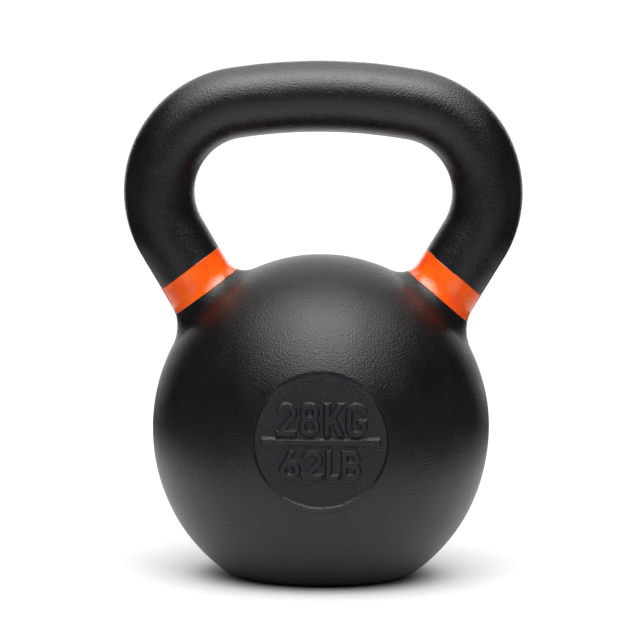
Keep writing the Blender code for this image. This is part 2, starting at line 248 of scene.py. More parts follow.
class Casting:
    """The iron's outline, worked out from its sizes. Distances are along the handle's centreline
    from the top of the crown, or from the ball's middle, which is on the Z axis."""

    def __init__(self, sizes, bands):
        self.ball_radius, self.ball_rise = sizes.ball_radius, sizes.ball_rise
        self.equator, self.fillet = sizes.equator_height, sizes.root_fillet
        self.base_edge, self.swell = sizes.base_edge, sizes.swell
        self.ball_drop = self.equator / math.sqrt(1 - (sizes.base_radius / self.ball_radius) ** 2)
        self.grip = sizes.grip_diameter / 2
        self.drop = sizes.horn_drop
        self.bend = sizes.shoulder_radius
        self.crown_top = sizes.height - self.grip
        self.bend_x = sizes.handle_width / 2 - self.grip - self.bend
        self.bend_z = self.crown_top - sizes.crown_rise - self.bend
        self.crown = (self.bend_x**2 + sizes.crown_rise**2) / (2 * sizes.crown_rise) + self.bend
        self.crown_turn = math.atan2(self.bend_x, self.bend_z - self.crown_top + self.crown)
        rise = self.bend_z - self.equator + self.drop
        reach = math.hypot(self.bend_x, rise)
        self.horn_angle = math.atan2(rise, self.bend_x) - math.asin(self.bend / reach)
        self.horn_length = math.sqrt(reach**2 - self.bend**2)
        self.lean = bands.lean
        self.band_angle = self.horn_angle - self.lean
        across = self.ball_radius * math.cos(self.band_angle)
        self.band_low = math.hypot(across, self.ball_rise * math.sin(self.band_angle)) + bands.above_ball
        self.band_high = self.band_low + bands.width
        self.crown_reach = self.crown * self.crown_turn
        self.bend_reach = self.crown_reach + self.bend * (math.pi - self.horn_angle - self.crown_turn)

    def above_skin(self, points):
        """Distance over the skin, under zero in the iron. The ball is an ellipsoid, flatter above
        the equator than under it, and its distance is k(k-1)/|gradient|. The horns mirror each
        other, so one endless bar in |x| serves both. They join the ball by a rolling fillet, and
        the floor plane cuts the ball with a rounded edge."""
        x, y, z = np.abs(points[..., 0]), points[..., 1], points[..., 2] - self.equator
        half = np.where(z > 0, self.ball_rise, self.ball_drop)
        size = np.sqrt((x**2 + y**2) / self.ball_radius**2 + (z / half) ** 2)
        slope = np.sqrt((x**2 + y**2) / self.ball_radius**4 + z**2 / half**4)
        ball = size * (size - 1) / slope
        beside = x * math.sin(self.horn_angle) - (z + self.drop) * math.cos(self.horn_angle)
        horn = np.hypot(beside, y) - self.grip
        return round_cut(round_union(ball, horn, self.fillet), -points[..., 2], self.base_edge)

    def reach(self, starts, ways, far, lift=0.0):
        """Length of each ray up to the skin plus lift, by halving the stretch that holds it. The
        swells of the casting are added to it."""
        near = np.zeros(ways.shape[:-1])
        far = np.full(ways.shape[:-1], far)
        for _ in range(HALVINGS):
            middle = (near + far) / 2
            inside = self.above_skin(starts + ways * middle[..., None]) < lift
            near, far = np.where(inside, middle, near), np.where(inside, far, middle)
        return middle + self.swell * self.swell_at(starts + ways * middle[..., None])

    def swell_at(self, points):
        """The swells, fading out over the base and round the medallion."""
        off_axis = np.hypot(points[..., 0], points[..., 2] - self.equator)
        front = (points[..., 1] < 0) * (1 - smooth_step(off_axis, 0.040, 0.052))
        return swells(points) * (1 - front) * smooth_step(points[..., 2], 0.002, 0.010)

    def horn_station(self, plane):
        """Distance from the horns' common aim to where a leaning plane cuts the horn's centre, for
        a plane that far from the ball's middle."""
        return (plane + self.drop * math.sin(self.band_angle)) / math.cos(self.lean)

    def bar_rings(self, stations, around, leans, lift=0.0):
        """Points of the bar's skin: from the centreline at each station, rays go round by the
        angle around, in a plane that leans by leans. A station is a distance along the centreline
        from the top of the crown, under zero on the left. Beyond the bends the bar is straight
        and its skin is that of the solid, with the fillets; round the bends it is a plain tube."""
        side, run = np.sign(stations), np.abs(stations)
        turned = np.where(
            run < self.crown_reach,
            run / self.crown,
            self.crown_turn + (run - self.crown_reach) / self.bend,
        )
        turned = np.minimum(turned, math.pi - self.horn_angle)
        out_x, out_z = np.sin(turned), np.cos(turned)
        on_crown = run < self.crown_reach
        straight = np.maximum(run - self.bend_reach, 0)
        x = np.where(on_crown, self.crown * out_x, self.bend_x + self.bend * out_x)
        z = np.where(
            on_crown,
            self.crown_top - self.crown + self.crown * out_z,
            self.bend_z + self.bend * out_z,
        )
        x, z = x + straight * out_z, z - straight * out_x
        way_x = np.sin(turned + leans) * np.cos(around)
        way_z = np.cos(turned + leans) * np.cos(around)
        starts = np.stack([side * x, np.zeros_like(x), z], -1)
        ways = np.stack([side * way_x, np.sin(around), way_z], -1)
        free = self.grip + lift + self.swell * self.swell_at(starts + ways * self.grip)
        skin = self.reach(starts, ways, 2.0 * self.grip, lift)
        lengths = np.where(straight > 0, skin, free)
        return starts + ways * lengths[..., None]


# ---------------------------------------------------------------------------
# Meshes
# ---------------------------------------------------------------------------


def quads(rows, columns, rows_join):
    """Corner numbers of the quads of a grid whose columns run round, and whose last row also meets
    its first one if rows_join."""
    row = np.arange(rows if rows_join else rows - 1)[:, None]
    column = np.arange(columns)[None, :]
    next_row, next_column = (row + 1) % rows, (column + 1) % columns
    corners = (
        row * columns + column,
        row * columns + next_column,
        next_row * columns + next_column,
        next_row * columns + column,
    )
    return np.stack(corners, -1).reshape(-1, 4)


def skin_object(name, rings, rows_join=False, values=None):
    """A closed mesh over rings of points. Unless the rows join, a point in the middle of the first
    ring and one in the middle of the last close the ends. Faces are turned outwards by the sign of
    the volume that they enclose."""
    rows, columns = rings.shape[:2]
    points = rings.reshape(-1, 3)
    faces = quads(rows, columns, rows_join)
    fans = np.empty((0, 3), int)
    if not rows_join:
        points = np.concatenate([points, rings[:1].mean(1), rings[-1:].mean(1)])
        first = np.arange(columns)
        second = (first + 1) % columns
        last_row = (rows - 1) * columns
        start_fan = np.stack([np.full(columns, rows * columns), second, first], -1)
        end_fan = np.stack([np.full(columns, rows * columns + 1), first + last_row, second + last_row], -1)
        fans = np.concatenate([start_fan, end_fan])
    triangles = np.concatenate([faces[:, [0, 1, 2]], faces[:, [0, 2, 3]], fans])
    if np.linalg.det(points[triangles]).sum() < 0:
        faces, fans = faces[:, ::-1], fans[:, ::-1]
    mesh = bpy.data.meshes.new(name)
    mesh.from_pydata(points.tolist(), [], faces.tolist() + fans.tolist())
    mesh.shade_smooth()
    for field, numbers in (values or {}).items():
        kept = np.zeros(len(points), np.float32)
        kept[: numbers.size] = numbers.reshape(-1)
        mesh.attributes.new(field, "FLOAT", "POINT").data.foreach_set("value", kept)
    made = bpy.data.objects.new(name, mesh)
    bpy.context.scene.collection.objects.link(made)
    return made


def place(piece, node, material):
    """Hands a finished piece to the frame: it rides on the body, takes its finish, and hides the CAD part
    it stands for.
    """
    piece.data.materials.append(material)
    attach(piece, BODY)
    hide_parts(node)


# ---------------------------------------------------------------------------
# The ball
# ---------------------------------------------------------------------------

BALL_COLUMNS = 560
BALL_ROWS = 150
HORN_FOCUS = (2.6, 0.33)      # how much denser the columns are at each horn, within half what angle
BASE_FOCUS = (0.5, 0.7)       # the same for the columns of the base
FLANK_FOCUS = (1.2, 0.55)     # the same for the rows half-way from front to back
BACK_POLE = 0.004             # the last row's angle off the pole at the back
OPENING_RADIUS = 0.0376       # hole in the ball's front skin that the medallion fills
OPENING_EDGE = 0.00005        # the skin's first row is this narrow, so that the edge stays crisp
OPENING_FLOOR = 0.0760        # how far the hole's floor is in front of the ball's middle
NECK_CAP = 0.1005             # the skin of the ball stops this far from its middle, under the bands
CAP_GRAZE = 0.5               # a ray misses the cap if its cosine with the cap's way is under this
BALL_FAR = 0.2                # longer than any ray to the skin


def ball_rings(casting, raised):
    """The ball's skin on a grid with its poles on the Y axis: rows are the angle from the front,
    columns go round, and each point is where the ray from the Z axis, level with the medallion's
    middle, leaves the iron or meets the cap plane over a horn. Rows and columns are closer where
    the horns and the base are. The first ring is the floor of the hole for the medallion."""

    def column_weight(a):
        more, half = HORN_FOCUS
        horns = hump(a, casting.horn_angle, half) + hump(a, math.pi - casting.horn_angle, half)
        return 1 + more * horns + BASE_FOCUS[0] * hump(a, 1.5 * math.pi, BASE_FOCUS[1])

    def row_weight(a):
        return 1 + FLANK_FOCUS[0] * hump(a, math.pi / 2, FLANK_FOCUS[1])

    around = spread(0, TURN, BALL_COLUMNS, column_weight)[:-1][None, :]
    start = math.asin(OPENING_RADIUS / casting.ball_radius)
    second = start + OPENING_EDGE / casting.ball_radius
    down = spread(second, math.pi - BACK_POLE, BALL_ROWS, row_weight)
    down = np.concatenate([[start], down])[:, None]
    ways = np.stack(
        np.broadcast_arrays(
            np.sin(down) * np.cos(around), -np.cos(down), np.sin(down) * np.sin(around)
        ),
        -1,
    )
    middle = np.array([0.0, 0.0, casting.equator + raised])
    lengths = casting.reach(middle, ways, BALL_FAR)
    cap_sine, cap_cosine = math.sin(casting.band_angle), math.cos(casting.band_angle)
    toward = np.abs(ways[..., 0]) * cap_cosine + ways[..., 2] * cap_sine
    cap = (NECK_CAP - raised * cap_sine) / np.maximum(toward, CAP_GRAZE)
    rings = middle + ways * np.minimum(lengths, cap)[..., None]
    recess = rings[:1].copy()
    recess[..., 1] = -OPENING_FLOOR
    return np.concatenate([recess, rings])


# ---------------------------------------------------------------------------
# The medallion with its marking
# ---------------------------------------------------------------------------

STROKE = 1.72 * MM            # half the thickness of a stroke of the marking
DRAFT_IN = 0.80 * MM          # a raised edge is at full height this far inside its outline
DRAFT_OUT = 0.40 * MM         # and meets the floor this far outside it
MEDALLION_COLUMNS = 600
MEDALLION_ROWS = 158
MEDALLION_SKIRT = 0.0386      # the disc's outer edge, tucked under the ball's skin
MEDALLION_BACK = 0.0790       # how far the disc's flat back is in front of the ball's middle
FIRST_RING = 0.10 * MM
PAST_OPENING = 0.15 * MM      # the last flush ring is this far outside the hole in the ball's skin
RIM_FOCUS = (1.6, 1.3 * MM)   # how much denser the rings are at the rim, within half what width
HUB_RELIEF = (0.45, 4 * MM)   # how much sparser they are in the middle, within what radius
TOP_SINES = (0.4, 0.95)       # the disc's sides turn into its top between these sines of the angle
FOOT_SINES = (0.5, 0.9)       # and into its foot between these ones
SIDE_BLEND = 0.05 * MM
TOP_WALL = 2.0 * MM           # how much wider than at the foot the wall is at the top
FOOT_GROOVE = 0.7             # share of the groove that the foot loses
EDGE_SINK = 0.01 * MM         # the disc's edge lies this far under the ball's skin
EDGE_START = 0.80 * MM        # and starts to sink this far inside the hole's edge
SKIRT_DIP = 0.50 * MM
COAT_INNER = 1.0 * MM         # the disc's bumps, gloss and tint (a painted reflection) fade from this far inside the rim
COAT_OUTER = 0.2 * MM         # to this far outside it
RAGGED_SPREAD = 5             # shortens the swells to the rim's finer waves


def slab_across(u, v, half_u, half_v):
    """Distance to a flat rectangle about the origin."""
    over_u, over_v = np.abs(u) - half_u, np.abs(v) - half_v
    outside = np.hypot(np.maximum(over_u, 0), np.maximum(over_v, 0))
    return outside + np.minimum(np.maximum(over_u, over_v), 0)


def block(a, b, left, right, low, high):
    """Distance to an upright rectangle."""
    half_a, half_b = (right - left) / 2, (high - low) / 2
    return slab_across(a - left - half_a, b - low - half_b, half_a, half_b)


def stroke(a, b, start, end):
    """Distance to a straight stroke with square ends."""
    run_a, run_b = end[0] - start[0], end[1] - start[1]
    size = math.hypot(run_a, run_b)
    off_a, off_b = a - (start[0] + end[0]) / 2, b - (start[1] + end[1]) / 2
    along = (off_a * run_a + off_b * run_b) / size
    across = (off_b * run_a - off_a * run_b) / size
    return slab_across(along, across, size / 2, STROKE)


def loop(a, b, middle, half_a, half_b):
    """Distance to a ring of even thickness along a rectangle whose shorter sides are half circles."""
    corner = min(half_a, half_b)
    over_a = np.abs(a - middle[0]) - half_a + corner
    over_b = np.abs(b - middle[1]) - half_b + corner
    outside = np.hypot(np.maximum(over_a, 0), np.maximum(over_b, 0))
    return np.abs(outside + np.minimum(np.maximum(over_a, over_b), 0) - corner) - STROKE


def fan(a, b, middle, start, end):
    """Distance to the fan between two directions, counted to the left from start to end."""
    off_a, off_b = a - middle[0], b - middle[1]
    before = math.sin(start) * off_a - math.cos(start) * off_b
    after = math.cos(end) * off_b - math.sin(end) * off_a
    return np.maximum(before, after) if end - start < math.pi else np.minimum(before, after)


def joined(*shapes):
    return np.minimum.reduce(shapes)


class LetterBox:
    """Edges of one letter and the lines down the middle of its outer strokes. They are given in
    millimetres from the medallion's middle, and kept in metres."""

    def __init__(self, left, right, low, high):
        self.left, self.right = left * MM, right * MM
        self.low, self.high = low * MM, high * MM
        self.in_left, self.in_right = self.left + STROKE, self.right - STROKE
        self.in_low, self.in_high = self.low + STROKE, self.high - STROKE
        self.middle = (self.left + self.right) / 2
        self.half = (self.in_right - self.in_left) / 2
        self.waist = (self.low + self.high) / 2


def figure_two(a, b, box):
    """A hook over the top, a straight slant and a foot."""
    middle = (box.middle, box.in_high - box.half)
    bend, tip = math.radians(-26), math.radians(168)
    hook = np.maximum(
        loop(a, b, middle, box.half, box.half), fan(a, b, middle, bend - math.radians(26), tip)
    )
    top = (middle[0] + box.half * math.cos(bend), middle[1] + box.half * math.sin(bend))
    slant = stroke(a, b, top, (box.in_left + 0.2 * MM, box.in_low + 0.4 * MM))
    foot = block(a, b, box.left, box.right, box.low, box.low + 2 * STROKE)
    return joined(hook, slant, foot)


def figure_eight(a, b, box):
    """Two loops, the upper one a little smaller."""
    waist = box.waist + 0.35 * MM
    upper = (box.middle, (waist + box.in_high) / 2)
    lower = (box.middle, (waist + box.in_low) / 2)
    return joined(
        loop(a, b, upper, box.half - 0.45 * MM, (box.in_high - waist) / 2),
        loop(a, b, lower, box.half, (waist - box.in_low) / 2),
    )


def figure_six(a, b, box):
    """A loop with a straight slant up from its left side."""
    middle = (box.middle, box.in_low + box.half)
    loop_part = loop(a, b, middle, box.half, box.half)
    slant = stroke(
        a, b, (box.in_left + 0.3 * MM, middle[1] + 1.0 * MM), (box.middle + 1.9 * MM, box.high + MM)
    )
    return joined(loop_part, np.maximum(slant, b - box.high))


def letter_k(a, b, box):
    """A stem, an arm and a leg, both cut level with the stem."""
    stem = block(a, b, box.left, box.left + 2 * STROKE, box.low, box.high)
    arm_start = (box.left + 2.6 * MM, box.waist - 2.2 * MM)
    leg_start = (box.left + 4.4 * MM, box.waist + 2.0 * MM)
    arm = stroke(a, b, arm_start, (box.in_right + 0.6 * MM, box.high + MM))
    leg = stroke(a, b, leg_start, (box.in_right + 0.5 * MM, box.low - MM))
    level = np.abs(b - box.waist) - (box.high - box.low) / 2
    return joined(stem, np.maximum(joined(arm, leg), level))


def letter_g(a, b, box):
    """A tall ring, open at the right over a short bar."""
    bar_top = box.waist + 0.5 * MM
    ring = loop(a, b, (box.middle, box.waist), box.half, box.waist - box.in_low)
    mouth = block(a, b, box.middle + 0.4 * MM, box.right + MM, bar_top, bar_top + 3.3 * MM)
    bar = block(a, b, box.middle + 0.3 * MM, box.right, bar_top - 2.9 * MM, bar_top)
    return joined(np.maximum(ring, -mouth), bar)


def letter_l(a, b, box):
    """A stem and a foot."""
    stem = block(a, b, box.left, box.left + 2 * STROKE, box.low, box.high)
    return joined(stem, block(a, b, box.left, box.right, box.low, box.low + 1.85 * STROKE))


def letter_b(a, b, box):
    """A stem and two bowls, the upper one a little smaller, with level strokes to the stem."""
    waist = box.waist + 0.2 * MM
    shapes = [block(a, b, box.left, box.left + 2 * STROKE, box.low, box.high)]
    for low, high, pull in ((waist, box.in_high, 0.5 * MM), (box.in_low, waist, 0.0)):
        half_a = box.half + 2 * STROKE
        middle = (box.in_right - pull - half_a, (low + high) / 2)
        bowl = loop(a, b, middle, half_a, (high - low) / 2)
        shapes.append(np.maximum(bowl, box.in_left - a))
    return joined(*shapes)


def marking(a, b):
    """Height of the raised weight marking, as a share of its relief: one over the letters and the
    bar, and falling to nothing across their sloping sides. The bar's upper side slopes the most."""
    letters = joined(
        figure_two(a, b, LetterBox(-23.7, -12.7, 2.4, 20.3)),
        figure_eight(a, b, LetterBox(-11.6, -0.5, 2.2, 20.5)),
        letter_k(a, b, LetterBox(1.4, 12.4, 2.4, 20.3)),
        letter_g(a, b, LetterBox(12.9, 24.3, 2.2, 20.5)),
        figure_six(a, b, LetterBox(-21.7, -10.6, -20.6, -4.4)),
        figure_two(a, b, LetterBox(-10.1, 1.1, -20.5, -4.2)),
        letter_l(a, b, LetterBox(2.4, 9.7, -20.5, -4.3)),
        letter_b(a, b, LetterBox(10.7, 21.3, -20.5, -4.3)),
    )
    raised = 1 - smooth_step(letters, -DRAFT_IN, DRAFT_OUT)
    bar_top = 1.7 * MM + 1.0 * MM * smooth_step(np.abs(a), 22 * MM, 26 * MM)
    bar = np.minimum.reduce(
        [
            smooth_step(bar_top - b, 0, bar_top - 0.5 * MM),
            smooth_step(b + 2.6 * MM, 0, 0.8 * MM),
            smooth_step(31.7 * MM - np.abs(a), 0, 0.9 * MM),
        ]
    )
    return np.maximum(raised, bar)


def medallion_rings(casting, sizes):
    """The disc as a height over a plane across the Y axis: rings outwards from the middle, and how
    much of the disc's own finish each point has: stronger bumps, duller gloss and a bluer, lighter
    tint that is a painted reflection. The floor is flat and level with the ball's skin at the disc's
    sides. At the top the ball falls behind it, and the two run together softly: half their sum less
    half the length of their difference and the blend. Below, the ball stands out over the floor, and a
    steep wall leads up to it. A fine groove follows the rim, deepest at the sides, and the marking
    stands on the floor. The last ring dips under the ball's skin, and a flat back closes the disc."""

    def row_weight(r):
        rim = RIM_FOCUS[0] * hump(r, sizes.radius, RIM_FOCUS[1])
        return 1 + rim - HUB_RELIEF[0] * hump(r, 0, HUB_RELIEF[1])

    flush = spread(FIRST_RING, OPENING_RADIUS + PAST_OPENING, MEDALLION_ROWS, row_weight)
    outward = np.append(flush, MEDALLION_SKIRT)[:, None]
    around = np.linspace(0, TURN, MEDALLION_COLUMNS, endpoint=False)[None, :]
    a, b = outward * np.cos(around), outward * np.sin(around)
    height_over = b + sizes.raised
    half = np.where(height_over > 0, casting.ball_rise, casting.ball_drop)
    off_middle = (a / casting.ball_radius) ** 2 + (height_over / half) ** 2
    ball = casting.ball_radius * np.sqrt(1 - off_middle)
    floor = math.sqrt(casting.ball_radius**2 - sizes.radius**2)
    top = smooth_step(np.sin(around), *TOP_SINES)
    foot = smooth_step(-np.sin(around), *FOOT_SINES)
    waves = swells(np.stack([a * RAGGED_SPREAD, 0 * a, b * RAGGED_SPREAD], -1))
    rim_line = sizes.radius + sizes.ragged * foot * waves
    blend = sizes.blend * top + SIDE_BLEND
    lower = (ball + floor - np.hypot(ball - floor, blend)) / 2
    wall_end = rim_line + (OPENING_RADIUS - rim_line) * top
    wall_start = wall_end - sizes.wall - TOP_WALL * top
    height = lower + (ball - lower) * smooth_step(outward, wall_start, wall_end)
    off_groove = (outward - rim_line + sizes.groove_width) / sizes.groove_width
    groove = sizes.groove * np.exp(-(off_groove**2)) * (1 - top) * (1 - FOOT_GROOVE * foot)
    height = height - groove + sizes.relief * marking(a, b)
    height = height - EDGE_SINK * smooth_step(outward, OPENING_RADIUS - EDGE_START, OPENING_RADIUS)
    height[-1] -= SKIRT_DIP
    front = np.stack([a, -height, height_over + casting.equator], -1)
    back = front[-1:].copy()
    back[..., 1] = -MEDALLION_BACK
    # painted reflection: the disc's tint fades in with inside, as do its stronger bumps and duller gloss
    coat_span = (sizes.radius - COAT_INNER, sizes.radius + COAT_OUTER)
    inside = 1 - smooth_step(outward + 0 * around, *coat_span)
    return np.concatenate([front, back]), inside


# ---------------------------------------------------------------------------
# The handle and the painted bands
# ---------------------------------------------------------------------------

HANDLE_ROWS = 380
HANDLE_COLUMNS = 176
HANDLE_OVERLAP = 0.0020       # the handle's skin starts this far over the band's lower edge
LEAN_FADE = 0.012             # the handle's rings turn from leaning to square over this length
BAND_ROWS = 44
BAND_COLUMNS = 384
BAND_SINK = 0.0003            # the back of the paint lies this far under the skin
BACK_STEP = 3                 # the back of the paint has one row for this many in front
EDGE_WAVES = (2, 3, 5, 8, 13, 21, 34)
EDGE_CROWDING = 0.55          # from 0, evenly spaced rows, to 1, rows crowded at the paint's edges
FILM_EDGE = (-0.02 * MM, 0.5 * MM)
NICK_AT = math.radians(222)   # where each ring's nick is, round the horn from its outer side
LEFT_NICK = (0.10, 0.45 * MM)     # half the angle and the depth of the left ring's nick
RIGHT_STEP = (0.04, 0.35 * MM)    # the same for the step at the right ring's
RIGHT_STEP_END = 4.7


def handle_rings(casting):
    """The bar's skin from under one band over the crown to under the other: rings along the
    centreline. The first and last lean with the bands, and the lean fades out along the horn."""
    start = casting.horn_station(casting.band_low + HANDLE_OVERLAP)
    end = casting.bend_reach + casting.horn_length - start
    stations = np.linspace(-end, end, HANDLE_ROWS)[:, None]
    around = np.linspace(0, TURN, HANDLE_COLUMNS, endpoint=False)[None, :]
    leans = casting.lean * (1 - smooth_step(end - np.abs(stations), 0, LEAN_FADE))
    stations, around, leans = np.broadcast_arrays(stations, around, leans)
    return casting.bar_rings(stations, around, leans)


def band_edges(casting, sizes, around, side):
    """Distances from the ball's middle to the paint's two edges, for each angle round the horn. A
    hand-masked edge strays by a few slow waves, the left ring's lower edge has a nick and the right
    ring's upper edge a step, and each ring leans a little its own way: the half cosine that is one
    at the horn's outer side and nothing inside."""
    chance = np.random.default_rng(62 + side)
    edges = []
    for _ in range(2):
        waves = [
            chance.uniform(-1, 1) * np.sin(n * around + chance.uniform(0, TURN)) / n**0.6
            for n in EDGE_WAVES
        ]
        edges.append(sizes.wander * sum(waves))
    nick = np.exp(-(((around - NICK_AT) / LEFT_NICK[0]) ** 2))
    step = smooth_step(around, NICK_AT - RIGHT_STEP[0], NICK_AT + RIGHT_STEP[0])
    step = step * (around < RIGHT_STEP_END)
    raised = (sizes.left_raise if side < 0 else sizes.right_raise) * (1 + np.cos(around)) / 2
    low = casting.band_low + edges[0] + raised + (LEFT_NICK[1] * nick if side < 0 else 0)
    high = casting.band_high + edges[1] + raised - (RIGHT_STEP[1] * step if side > 0 else 0)
    return low, high


def band_rings(casting, sizes, side):
    """A ring of paint: columns go round the horn and rows go round the film's section, along its
    outside from one edge to the other and back under the skin. The film is even but for the last
    half millimetre at each edge, where it thins out by the root of a smooth step."""
    around = np.linspace(0, TURN, BAND_COLUMNS, endpoint=False)[None, :]
    low, high = band_edges(casting, sizes, around, side)
    share = np.linspace(0, 1, BAND_ROWS)[:, None]
    share = share - np.sin(TURN * share) / TURN * EDGE_CROWDING
    plane = low + (high - low) * share
    from_edge = np.minimum(share, 1 - share) * sizes.width
    film = sizes.film * np.sqrt(smooth_step(from_edge, *FILM_EDGE))
    plane = np.concatenate([plane, plane[::-BACK_STEP]])
    lift = np.broadcast_to(-BAND_SINK, plane.shape).copy()
    lift[:BAND_ROWS] = film
    plane, around, lift = np.broadcast_arrays(plane, around, lift)
    stations = side * (casting.bend_reach + casting.horn_length - casting.horn_station(plane))
    rings = casting.bar_rings(stations, around, np.full(plane.shape, casting.lean), lift)
    return rings, np.clip(lift / sizes.film, 0, 1)


# ---------------------------------------------------------------------------
# Finishes
# ---------------------------------------------------------------------------


class Value:
    """A number that a socket carries, with sums written the usual way."""

    def __init__(self, finish, socket):
        self.finish, self.socket = finish, socket

    def maths(self, operation, first, second):
        settings = {"operation": operation}
        node = self.finish.node("ShaderNodeMath", settings, {0: first, 1: second})
        return Value(self.finish, node.outputs[0])

    def __add__(self, other):
        return self.maths("ADD", self, other)

    def __sub__(self, other):
        return self.maths("SUBTRACT", self, other)

    def __rsub__(self, other):
        return self.maths("SUBTRACT", other, self)

    def __mul__(self, other):
        return self.maths("MULTIPLY", self, other)

    def __gt__(self, other):
        return self.maths("GREATER_THAN", self, other)

    __radd__ = __add__
    __rmul__ = __mul__

    def step(self, low, high):
        """0 under low and 1 over high, or the other way round if low is the larger."""
        settings = {"interpolation_type": "SMOOTHSTEP"}
        sockets = {"Value": self, "From Min": min(low, high), "From Max": max(low, high)}
        sockets.update({"To Min": float(low > high), "To Max": float(low < high)})
        return Value(self.finish, self.finish.node("ShaderNodeMapRange", settings, sockets).outputs[0])


class Finish:
    """A material while its nodes are put together."""

    def __init__(self, name):
        self.material = bpy.data.materials.new(name)
        self.material.use_nodes = True
        self.material.node_tree.nodes.clear()
        self.where = self.node("ShaderNodeTexCoord").outputs["Object"]

    def node(self, kind, settings=None, sockets=None):
        """A node of one type, with its settings, then the values or links of its sockets."""
        made = self.material.node_tree.nodes.new(kind)
        for setting, value in (settings or {}).items():
            setattr(made, setting, value)
        for socket, value in (sockets or {}).items():
            if isinstance(value, Value):
                value = value.socket
            if isinstance(value, bpy.types.NodeSocket):
                self.material.node_tree.links.new(value, made.inputs[socket])
            else:
                made.inputs[socket].default_value = value
        return made

    def noise(self, size, detail=2.0, roughness=0.5, distortion=0.0):
        """Cloudy noise from 0 to 1 whose lumps are about size wide."""
        sockets = {
            "Vector": self.where,
            "Scale": 1 / size,
            "Detail": detail,
            "Roughness": roughness,
            "Distortion": distortion,
        }
        return Value(self, self.node("ShaderNodeTexNoise", None, sockets).outputs[0])

    def attribute(self, name):
        return Value(self, self.node("ShaderNodeAttribute", {"attribute_name": name}).outputs["Fac"])

    def length(self, vector):
        """The length of a vector."""
        node = self.node("ShaderNodeVectorMath", {"operation": "LENGTH"}, {0: vector})
        return Value(self, node.outputs["Value"])

    def blend(self, share, first, second):
        """first where share is 0 and second where it is 1, as colours."""
        sockets = {0: share, 6: first, 7: second}
        return self.node("ShaderNodeMix", {"data_type": "RGBA"}, sockets).outputs[2]

    def bump(self, height, depth):
        sockets = {"Strength": 1.0, "Distance": depth, "Height": height}
        return self.node("ShaderNodeBump", None, sockets).outputs["Normal"]

    def surface(self, **sockets):
        """Ends the material in one shader; socket names use _ for a space."""
        named = {name.replace("_", " "): value for name, value in sockets.items()}
        shader = self.node("ShaderNodeBsdfPrincipled", None, named)
        self.node("ShaderNodeOutputMaterial", None, {"Surface": shader.outputs[0]})
        return self.material


def opaque(rgb, share=1.0):
    return (rgb[0] * share, rgb[1] * share, rgb[2] * share, 1.0)


def pinholes(finish, spacing, size, share):
    """1 in the middle of scattered pits, 0 elsewhere: near the middle of a cell of a Voronoi
    pattern, in the given share of the cells."""
    cells = finish.node("ShaderNodeTexVoronoi", None, {"Vector": finish.where, "Scale": 1 / spacing})
    chosen = finish.node("ShaderNodeSeparateColor", None, {0: cells.outputs["Color"]}).outputs[0]
    near = Value(finish, cells.outputs["Distance"]).step(size / spacing, 0.3 * size / spacing)
    return near * (Value(finish, chosen) > 1 - share)


def powder_coat(looks, name, roughness, shine):
    """Cured black powder: rounded bumps like orange peel over a finer tooth, duller and shinier
    patches, and a few pits where gas came through. Where the attribute inside is 1, the bumps are
    stronger, the gloss duller, and the colour has a bluer, lighter tint: a painted reflection."""
    finish = Finish(name)
    inside = finish.attribute("inside")
    peel = finish.noise(looks.grain, detail=1.5, roughness=0.45)
    tooth = finish.noise(looks.grain / 3.2, detail=1.0)
    patches = finish.noise(0.016, detail=3.0, roughness=0.6)
    streaks = finish.noise(0.045, detail=2.0)
    pits = pinholes(finish, 0.012, 0.00075, 0.10)
    height = (1 + 0.7 * inside) * (peel * (0.55 + 0.6 * patches) + 0.22 * tooth) - 1.6 * pits
    gloss = roughness + 0.10 * (patches - 0.5) + 0.08 * (tooth - 0.5) + 0.05 * (streaks - 0.5)
    gloss = gloss + 0.06 * inside
    patched = finish.blend(patches.step(0.3, 0.7), opaque(looks.coat, 0.8), opaque(looks.coat, 1.25))
    return finish.surface(
        # painted reflection: inside blends in the disc's bluer, lighter tint
        Base_Color=finish.blend(inside, patched, opaque(looks.medallion_coat_painted_reflection)),
        Roughness=gloss,
        Specular_IOR_Level=shine,
        Normal=finish.bump(height, looks.grain_height),
    )


def band_enamel(looks):
    """Orange enamel brushed over the coat: the coat's bumps show through softly, and the brush left slow
    streaks. Along its edges, where the film thins out, the colour goes dark: painted shadow of the
    paint's edge. The enamel also glows a little with its own colour: painted light from the sides."""
    finish = Finish("band_enamel")
    cover = finish.attribute("cover")
    peel = finish.noise(looks.grain * 1.3, detail=1.0)
    brush = finish.noise(0.004, detail=3.0, roughness=0.6, distortion=0.6)
    clouds = finish.noise(0.011, detail=2.0)
    body = finish.blend(clouds.step(0.35, 0.7), opaque(looks.enamel), opaque(looks.enamel_thick))
    # painted shadow: the enamel goes dark along the paint's edges, where cover falls off
    enamel_with_painted_edge_shadow = finish.blend(cover.step(0.35, 0.95), opaque(looks.enamel, 0.10), body)
    return finish.surface(
        Base_Color=enamel_with_painted_edge_shadow,
        Roughness=0.27 + 0.16 * (brush - 0.5) + 0.10 * (clouds - 0.5),
        Specular_IOR_Level=0.5,
        Coat_Weight=0.40,
        Coat_Roughness=0.16,
        # painted light: the enamel glows with its own colour in place of light from the sides
        Emission_Color=body,
        Emission_Strength=0.17,
        Normal=finish.bump(0.45 * peel + 0.9 * brush, looks.grain_height * 0.45),
    )


FLOOR_GLOW = 0.68
UNLIT_SPOT = (0.047, 0.079)   # distances from the object's middle over which half the light comes up
FAR_LIGHT = (0.20, 0.80)      # and over which the other half does


